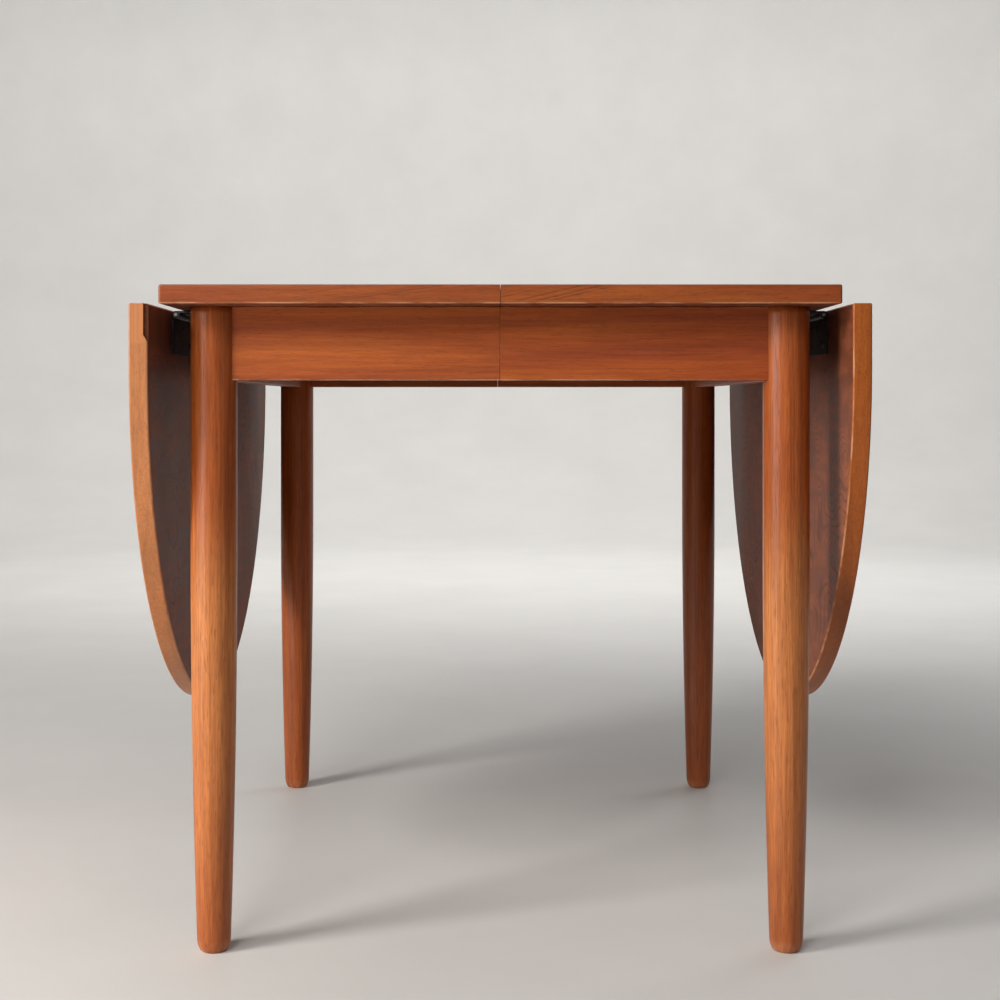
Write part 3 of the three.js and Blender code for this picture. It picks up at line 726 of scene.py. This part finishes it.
class TABLE_OT_legs(bpy.types.Operator):
    """Turns the four legs"""

    bl_idname = "table.legs"
    bl_label = "Legs"

    def execute(self, context):
        sizes = context.scene.table_sizes
        tree = leg_tree()
        for half, side in HALVES:
            for row, depth in ROWS:
                centre = Vector((side * LEG_AXIS.x, depth * LEG_AXIS.y, 0))
                made = grow(
                    f"{row}_{half}_turned_leg",
                    tree,
                    {
                        "Height": LEG_HEIGHT,
                        "Radius": LEG_RADIUS,
                        "Ankle": sizes.leg_ankle_radius,
                        "Foot": sizes.leg_foot_radius,
                        "Foot height": sizes.leg_foot_height,
                        "Straight": sizes.leg_straight,
                        # Only the front legs get the painted window light; the rear legs keep the plain leg
                        # colour.
                        "Fading and light": 1.0 if row == "front" else 0.0,
                        "Centre": centre,
                        "Log": Vector((1.7 * side, 0.06 * depth, 0.04 * side * depth + 0.05)),
                        "Material": material("teak_leg"),
                    },
                )
                settle(made, f"{half}_frame", "leg_teak", f"{row}_{half}_leg")
        return {"FINISHED"}


# ---------------------------------------------------------------- side aprons


def rounded_section(low, high, arris):
    """Corners of a board's section in y and z with rounded arrises, each with its wear."""
    points = []
    for corner, (y, z) in enumerate(((high[0], low[1]), high, (low[0], high[1]), low)):
        centre_y = y - arris if y == high[0] else y + arris
        centre_z = z - arris if z == high[1] else z + arris
        for step in range(ARRIS_STEPS + 1):
            share = step / ARRIS_STEPS
            angle = (corner - 1 + share) * math.pi / 2
            worn = math.sin(math.pi * share)
            points.append((centre_y + arris * math.cos(angle), centre_z + arris * math.sin(angle), worn))
    return points


# The seam end is eased by this share of the arris.
END_EASE = 0.3
# A painted highlight on the lower front corner of the front left apron at its leg, drawn in the worn colour:
# its length and strength.
CORNER_HIGHLIGHT_LENGTH = 0.007
CORNER_HIGHLIGHT_WEAR = 6


def leg_scribe(y, row_sign):
    """Where a side apron meets the round of its leg, as a distance along x."""
    off = y - row_sign * LEG_AXIS.y
    return LEG_AXIS.x - math.sqrt((LEG_RADIUS + LEG_CLEARANCE) ** 2 - off * off)


class TABLE_OT_side_aprons(bpy.types.Operator):
    """Makes the front and rear aprons, scribed to the legs"""

    bl_idname = "table.side_aprons"
    bl_label = "Side aprons"

    def execute(self, context):
        arris = context.scene.table_sizes.apron_arris
        for half, side in HALVES:
            for row, depth in ROWS:
                low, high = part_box(f"{row}_{half}_apron")
                section = rounded_section((low.y, low.z), (high.y, high.z), arris)
                bm = bmesh.new()
                wear = bm.verts.layers.float.new("wear")
                # Distance from the seam, shrink of the section, and distance short of the leg.
                ease = arris * END_EASE
                stations = ((0, ease, None), (ease, 0, None), (None, 0, CORNER_HIGHLIGHT_LENGTH), (None, 0, 0))
                highlighted_corner = (row, half) == ("front", "left")
                rings = []
                middle = ((low.y + high.y) / 2, (low.z + high.z) / 2)
                for start, shrink, short in stations:
                    ring = []
                    for y, z, worn in section:
                        x = leg_scribe(y, depth) - short if start is None else SEAM_GAP + start
                        # Painted highlight: the worn colour is raised on this corner.
                        if highlighted_corner and short == 0 and z < middle[1] and y < middle[0]:
                            worn *= CORNER_HIGHLIGHT_WEAR
                        y -= math.copysign(min(shrink, abs(y - middle[0])), y - middle[0])
                        z -= math.copysign(min(shrink, abs(z - middle[1])), z - middle[1])
                        vertex = bm.verts.new((side * x, y, z))
                        vertex[wear] = worn
                        ring.append(vertex)
                    rings.append(ring)
                bm.faces.new(rings[0])
                bm.faces.new(list(reversed(rings[-1])))
                for first, second in zip(rings, rings[1:]):
                    for place in range(len(first)):
                        after = (place + 1) % len(first)
                        face = bm.faces.new((first[place], first[after], second[after], second[place]))
                        face.smooth = True
                shift = Vector((0.6 * side, 0.02 * depth, -0.64 + 0.015 * side))
                made = new_mesh(
                    f"{row}_{half}_apron_board", bm, lambda co, shift=shift: co + shift, ("teak_apron",)
                )
                saw_and_shade_seam(made)
                hold_flats(made)
                settle(made, f"{half}_frame", "apron_teak", f"{row}_{half}_apron")
        return {"FINISHED"}


# ---------------------------------------------------------------- pieces kept from the frame


class TABLE_OT_inner_frame(bpy.types.Operator):
    """Finishes the end aprons, blocks, cleats, runners and bearers"""

    bl_idname = "table.inner_frame"
    bl_label = "Inner frame"

    def execute(self, context):
        corners = [f"{row}_{half}" for half, _ in HALVES for row, _ in ROWS]
        carry_over([f"{half}_end_apron" for half, _ in HALVES], "teak_end_apron")
        carry_over([f"{half}_bearer_keeper" for half, _ in HALVES], "beech_cross")
        carry_over([f"{place}_corner_block" for place in corners], "birch_block")
        for piece in ("top_cleat", "runner", "bearer"):
            carry_over([f"{place}_{piece}" for place in corners], "beech_runner")
        carry_over([f"{row}_middle_runner" for row, _ in ROWS], "beech_runner")
        carry_over([f"{place}_bearer_peg" for place in corners], "birch_block")
        carry_over([f"seam_dowel_{number}" for number in (1, 2, 3)], "birch_block")
        return {"FINISHED"}


class TABLE_OT_hinges(bpy.types.Operator):
    """Finishes the hinge plates and pins"""

    bl_idname = "table.hinges"
    bl_label = "Hinges"

    def execute(self, context):
        corners = [f"{row}_{half}" for half, _ in HALVES for row, _ in ROWS]
        for piece in ("hinge_top_plate", "hinge_leaf_plate"):
            carry_over([f"{place}_{piece}" for place in corners], "black_enamel")
        carry_over([f"{place}_hinge_pin" for place in corners], "drawn_steel")
        return {"FINISHED"}


# ---------------------------------------------------------------- screws

KNUCKLE_RADIUS = 0.0044
KNUCKLE_GAP = 0.0004
HINGE_PLATE = 0.0022
HEAD_HEIGHT = 0.34
HEAD_TOP = 0.82
HEAD_SIDES = 20
SLOT_LENGTH = 3.0
SLOT_LIFT = 0.95
SCREW_SEED = 7

# Where screws stand along or across their piece, as shares of it, or in metres from an end or middle.
TOP_PLATE_SCREWS = (0.35, 0.65, 0.35)
LEAF_PLATE_SCREWS = (0.3, 0.75, 0.3)
CLEAT_SCREWS = (0.12, 0.5, 0.88)
RUNNER_SCREWS = (0.1, 0.5, 0.9)
BLOCK_SCREW_OFFSET = 0.016
KEEPER_SCREW_INSET = 0.007


def screw_tree():
    """Puts a slotted head on every point, facing along the point's axis attribute."""
    tree = bpy.data.node_groups.new("slotted_screws", "GeometryNodeTree")
    face = tree.interface
    face.new_socket("Geometry", in_out="INPUT", socket_type="NodeSocketGeometry")
    for name in ("Head radius", "Slot width"):
        face.new_socket(name, in_out="INPUT", socket_type="NodeSocketFloat")
    face.new_socket("Seed", in_out="INPUT", socket_type="NodeSocketInt")
    face.new_socket("Material", in_out="INPUT", socket_type="NodeSocketMaterial")
    face.new_socket("Geometry", in_out="OUTPUT", socket_type="NodeSocketGeometry")
    wires = Wiring(tree)
    given = wires.add("NodeGroupInput").outputs
    head_height = wires.math("MULTIPLY", given["Head radius"], HEAD_HEIGHT)
    cone = wires.add(
        "GeometryNodeMeshCone",
        {
            "Vertices": HEAD_SIDES,
            "Side Segments": 1,
            "Radius Top": wires.math("MULTIPLY", given["Head radius"], HEAD_TOP),
            "Radius Bottom": given["Head radius"],
            "Depth": head_height,
        },
    )
    slot_size = wires.add(
        "ShaderNodeCombineXYZ",
        {
            0: wires.math("MULTIPLY", given["Head radius"], SLOT_LENGTH),
            1: given["Slot width"],
            2: head_height,
        },
    )
    slot = wires.add("GeometryNodeMeshCube", {"Size": slot_size.outputs[0]})
    lift = wires.add("ShaderNodeCombineXYZ", {2: wires.math("MULTIPLY", head_height, SLOT_LIFT)})
    raised = wires.add("GeometryNodeTransform", {"Geometry": slot.outputs[0], "Translation": lift.outputs[0]})
    head = wires.add("GeometryNodeMeshBoolean", {"Mesh 1": cone.outputs[0], "Mesh 2": raised.outputs[0]},
                     operation="DIFFERENCE", solver="EXACT")
    axis = wires.add("GeometryNodeInputNamedAttribute", {"Name": "axis"}, data_type="FLOAT_VECTOR")
    facing = wires.add("FunctionNodeAlignRotationToVector", {"Vector": axis.outputs[0]}, axis="Z")
    spin = wires.add(
        "FunctionNodeRandomValue", {2: 0.0, 3: math.tau, "Seed": given["Seed"]}, data_type="FLOAT"
    )
    about = wires.add("FunctionNodeAxisAngleToRotation", {"Axis": (0, 0, 1), "Angle": spin.outputs[1]})
    turned = wires.add(
        "FunctionNodeRotateRotation",
        {"Rotation": facing.outputs[0], "Rotate By": about.outputs[0]},
        rotation_space="LOCAL",
    )
    placed = wires.add(
        "GeometryNodeInstanceOnPoints",
        {"Points": given["Geometry"], "Instance": head.outputs[0], "Rotation": turned.outputs[0]},
    )
    close_tree(wires, placed.outputs[0], given["Material"])
    return tree


def hinge_screws(place, side):
    """Screws in a hinge's top plate, seen from below, and in its leaf plate."""
    low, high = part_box(f"{place}_hinge_top_plate")
    tip = max(abs(low.x), abs(high.x))
    start = min(abs(low.x), abs(high.x))
    pin = tip - KNUCKLE_RADIUS
    edge = pin - KNUCKLE_RADIUS - KNUCKLE_GAP
    middle = (low.y + high.y) / 2
    pitch = (high.y - low.y) / 3
    under = [
        ((side * (start + (edge - start) * share), middle + step * pitch, high.z - HINGE_PLATE), (0, 0, -1))
        for step, share in zip((-1, 0, 1), TOP_PLATE_SCREWS)
    ]
    low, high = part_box(f"{place}_hinge_leaf_plate")
    bottom = low.z
    top = high.z - 2 * KNUCKLE_RADIUS - KNUCKLE_GAP
    face = tip - HINGE_PLATE
    inner = [
        ((side * face, middle + step * pitch, bottom + (top - bottom) * share), (-side, 0, 0))
        for step, share in zip((-1, 0, 1), LEAF_PLATE_SCREWS)
    ]
    return under, inner


def frame_screws(half, side):
    """Screws in the cleats, keeper, runners and corner blocks of one half."""
    points = []
    for row, depth in ROWS:
        low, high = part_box(f"{row}_{half}_top_cleat")
        for share in CLEAT_SCREWS:
            points.append(((low.x + (high.x - low.x) * share, (low.y + high.y) / 2, low.z), (0, 0, -1)))
        low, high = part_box(f"{row}_{half}_runner")
        for share in RUNNER_SCREWS:
            points.append(((side * high.x * share, (low.y + high.y) / 2, low.z), (0, 0, -1)))
        low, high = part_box(f"{row}_{half}_corner_block")
        centre = (low + high) / 2
        reach = high.x - low.x
        out = Vector((-side, -depth, 0)).normalized()
        # The block is a diagonal band, so its open face lies half its own box off the corner.
        corner = Vector((side * max(abs(low.x), abs(high.x)), depth * max(abs(low.y), abs(high.y)), centre.z))
        face = corner + out * (reach / math.sqrt(2))
        along = Vector((-out.y, out.x, 0))
        for step in (-1, 1):
            points.append((face + along * step * BLOCK_SCREW_OFFSET, out))
    low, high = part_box(f"{half}_bearer_keeper")
    for y in (low.y + KEEPER_SCREW_INSET, 0, high.y - KEEPER_SCREW_INSET):
        points.append((((low.x + high.x) / 2, y, low.z), (0, 0, -1)))
    return points


def point_cloud(name, points):
    mesh = bpy.data.meshes.new(name)
    mesh.from_pydata([tuple(place) for place, _ in points], [], [])
    axes = mesh.attributes.new("axis", "FLOAT_VECTOR", "POINT")
    for (_, axis), value in zip(points, axes.data):
        value.vector = axis
    return mesh


class TABLE_OT_screws(bpy.types.Operator):
    """Drives the screws that hold the hinges and the inner frame"""

    bl_idname = "table.screws"
    bl_label = "Screws"

    def execute(self, context):
        sizes = context.scene.table_sizes
        tree = screw_tree()
        for half, side in HALVES:
            fixed = frame_screws(half, side)
            pairs = [hinge_screws(f"{row}_{half}", side) for row, _ in ROWS]
            under, inner = (sum(points, []) for points in zip(*pairs))
            for name, points, body, finish, slot in (
                (f"{half}_frame_screws", fixed, f"{half}_frame", "drawn_steel", "bright_steel"),
                (f"{half}_hinge_screws", under, f"{half}_frame", "black_enamel", "black_steel"),
                (f"{half}_leaf_screws", inner, f"{half}_drop_leaf", "black_enamel", "black_steel"),
            ):
                made = grow(
                    name,
                    tree,
                    {
                        "Head radius": sizes.screw_radius,
                        "Slot width": sizes.screw_slot,
                        "Seed": SCREW_SEED,
                        "Material": material(finish),
                    },
                    point_cloud(name, points),
                )
                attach(made, body)
        return {"FINISHED"}


# ---------------------------------------------------------------- stage

CAMERA_PLACE = (-0.0087, -2.0504, 0.6039)
CAMERA_LENS = 55.08
CAMERA_SHIFT = (0.0078, -0.0971)
DOME_RADIUS = 7.0
DOME_HEIGHT = 6.0
DOME_COVE = 2.5
DOME_SIDES = 96
COVE_STEPS = 16


def studio_dome():
    """A round floor that sweeps up into a wall, with no edge to see."""
    bm = bmesh.new()
    profile = [(radius, 0.0) for radius in (0.0, DOME_RADIUS - DOME_COVE)]
    for step in range(1, COVE_STEPS + 1):
        angle = step / COVE_STEPS * math.pi / 2
        profile.append((DOME_RADIUS - DOME_COVE * (1 - math.sin(angle)), DOME_COVE * (1 - math.cos(angle))))
    profile.append((DOME_RADIUS, DOME_HEIGHT))
    verts = [bm.verts.new((radius, 0, height)) for radius, height in profile]
    edges = [bm.edges.new(pair) for pair in zip(verts, verts[1:])]
    bmesh.ops.spin(bm, geom=verts + edges, cent=(0, 0, 0), axis=(0, 0, 1), angle=math.tau, steps=DOME_SIDES)
    bmesh.ops.remove_doubles(bm, verts=bm.verts, dist=1e-5)
    for face in bm.faces:
        face.smooth = True
    mesh = bpy.data.meshes.new("studio_dome")
    bm.to_mesh(mesh)
    bm.free()
    return mesh


def studio_material(colour):
    made, wires = empty_material("studio_paint")
    objects = wires.add("ShaderNodeTexCoord").outputs["Object"]
    mottle = wires.noise(objects, 3.0, 5, 0.6).outputs[0]
    shade = wires.ramp(mottle, [(0.3, rgba(colour, 0.97)), (0.7, rgba(colour, 1.03))])
    finish_material(wires, shade, 0.55, mottle, 0.001, 0.1)
    return made


def area_light(name, place, target, size, energy, colour):
    data = bpy.data.lights.new(name, "AREA")
    data.shape = "RECTANGLE"
    data.size, data.size_y = size
    data.energy = energy
    data.color = colour
    light = bpy.data.objects.new(name, data)
    light.location = place
    light.visible_camera = False
    light.rotation_euler = (Vector(target) - Vector(place)).to_track_quat("-Z", "Y").to_euler()
    bpy.context.scene.collection.objects.link(light)


class TABLE_OT_stage(bpy.types.Operator):
    """Sets up the studio, the lights and the camera"""

    bl_idname = "table.stage"
    bl_label = "Stage"

    def execute(self, context):
        scene = context.scene
        mesh = studio_dome()
        mesh.materials.append(studio_material(scene.table_colours.studio))
        dome = bpy.data.objects.new("studio_dome", mesh)
        scene.collection.objects.link(dome)

        middle = (0, -0.2, 0.45)
        area_light("corner_window", (-2.9, -1.9, 1.75), middle, (1.0, 1.5), 100, (1.0, 0.965, 0.915))
        area_light("front_card", (-1.1, -3.0, 2.7), middle, (1.5, 1.2), 54, (1.0, 0.98, 0.95))
        area_light("left_card", (-1.3, -1.1, 0.5), (-0.3, -0.35, 0.4), (0.8, 0.7), 7, (1.0, 0.95, 0.88))
        area_light("rear_fill", (2.9, 2.5, 2.2), (0.2, 0.1, 0.5), (2.0, 1.5), 24, (0.96, 0.98, 1.0))
        area_light("backdrop_wash", (0, 2.8, 3.0), (0, 6.2, 0.2), (4.0, 1.5), 130, (1.0, 0.99, 0.97))

        world = bpy.data.worlds.new("studio_air")
        scene.world = world
        world.use_nodes = True
        backdrop = world.node_tree.nodes["Background"]
        backdrop.inputs["Color"].default_value = (0.95, 0.96, 1.0, 1)
        backdrop.inputs["Strength"].default_value = 0.10

        data = bpy.data.cameras.new("camera")
        data.sensor_width = 36
        data.lens = CAMERA_LENS
        data.shift_x, data.shift_y = CAMERA_SHIFT
        camera = bpy.data.objects.new("camera", data)
        camera.location = CAMERA_PLACE
        camera.rotation_euler = (math.pi / 2, 0, 0)
        scene.collection.objects.link(camera)
        scene.camera = camera
        scene.view_settings.view_transform = "Standard"
        return {"FINISHED"}


# ---------------------------------------------------------------- panel and registration

STEPS = (
    TABLE_OT_stage,
    TABLE_OT_finishes,
    TABLE_OT_top,
    TABLE_OT_leaves,
    TABLE_OT_legs,
    TABLE_OT_side_aprons,
    TABLE_OT_inner_frame,
    TABLE_OT_hinges,
    TABLE_OT_screws,
)


class TABLE_PT_panel(bpy.types.Panel):
    """Lists the table's sizes, colours and making steps"""

    bl_idname = "TABLE_PT_panel"
    bl_label = "Drop leaf table"
    bl_space_type = "VIEW_3D"
    bl_region_type = "UI"
    bl_category = "Table"

    def draw(self, context):
        for group in (context.scene.table_sizes, context.scene.table_colours):
            column = self.layout.column()
            for name in group.bl_rna.properties.keys():
                if name not in ("rna_type", "name"):
                    column.prop(group, name)
        for step in STEPS:
            self.layout.operator(step.bl_idname)


CLASSES = (TableSizes, TableColours, *STEPS, TABLE_PT_panel)


def register():
    for kind in CLASSES:
        bpy.utils.register_class(kind)
    bpy.types.Scene.table_sizes = PointerProperty(type=TableSizes)
    bpy.types.Scene.table_colours = PointerProperty(type=TableColours)


def unregister():
    del bpy.types.Scene.table_colours
    del bpy.types.Scene.table_sizes
    for kind in reversed(CLASSES):
        bpy.utils.unregister_class(kind)


def main():
    register()
    bpy.ops.table.stage()
    bpy.ops.table.finishes()
    bpy.ops.table.top()
    bpy.ops.table.leaves()
    bpy.ops.table.legs()
    bpy.ops.table.side_aprons()
    bpy.ops.table.inner_frame()
    bpy.ops.table.hinges()
    bpy.ops.table.screws()


if __name__ == "__main__":
    main()
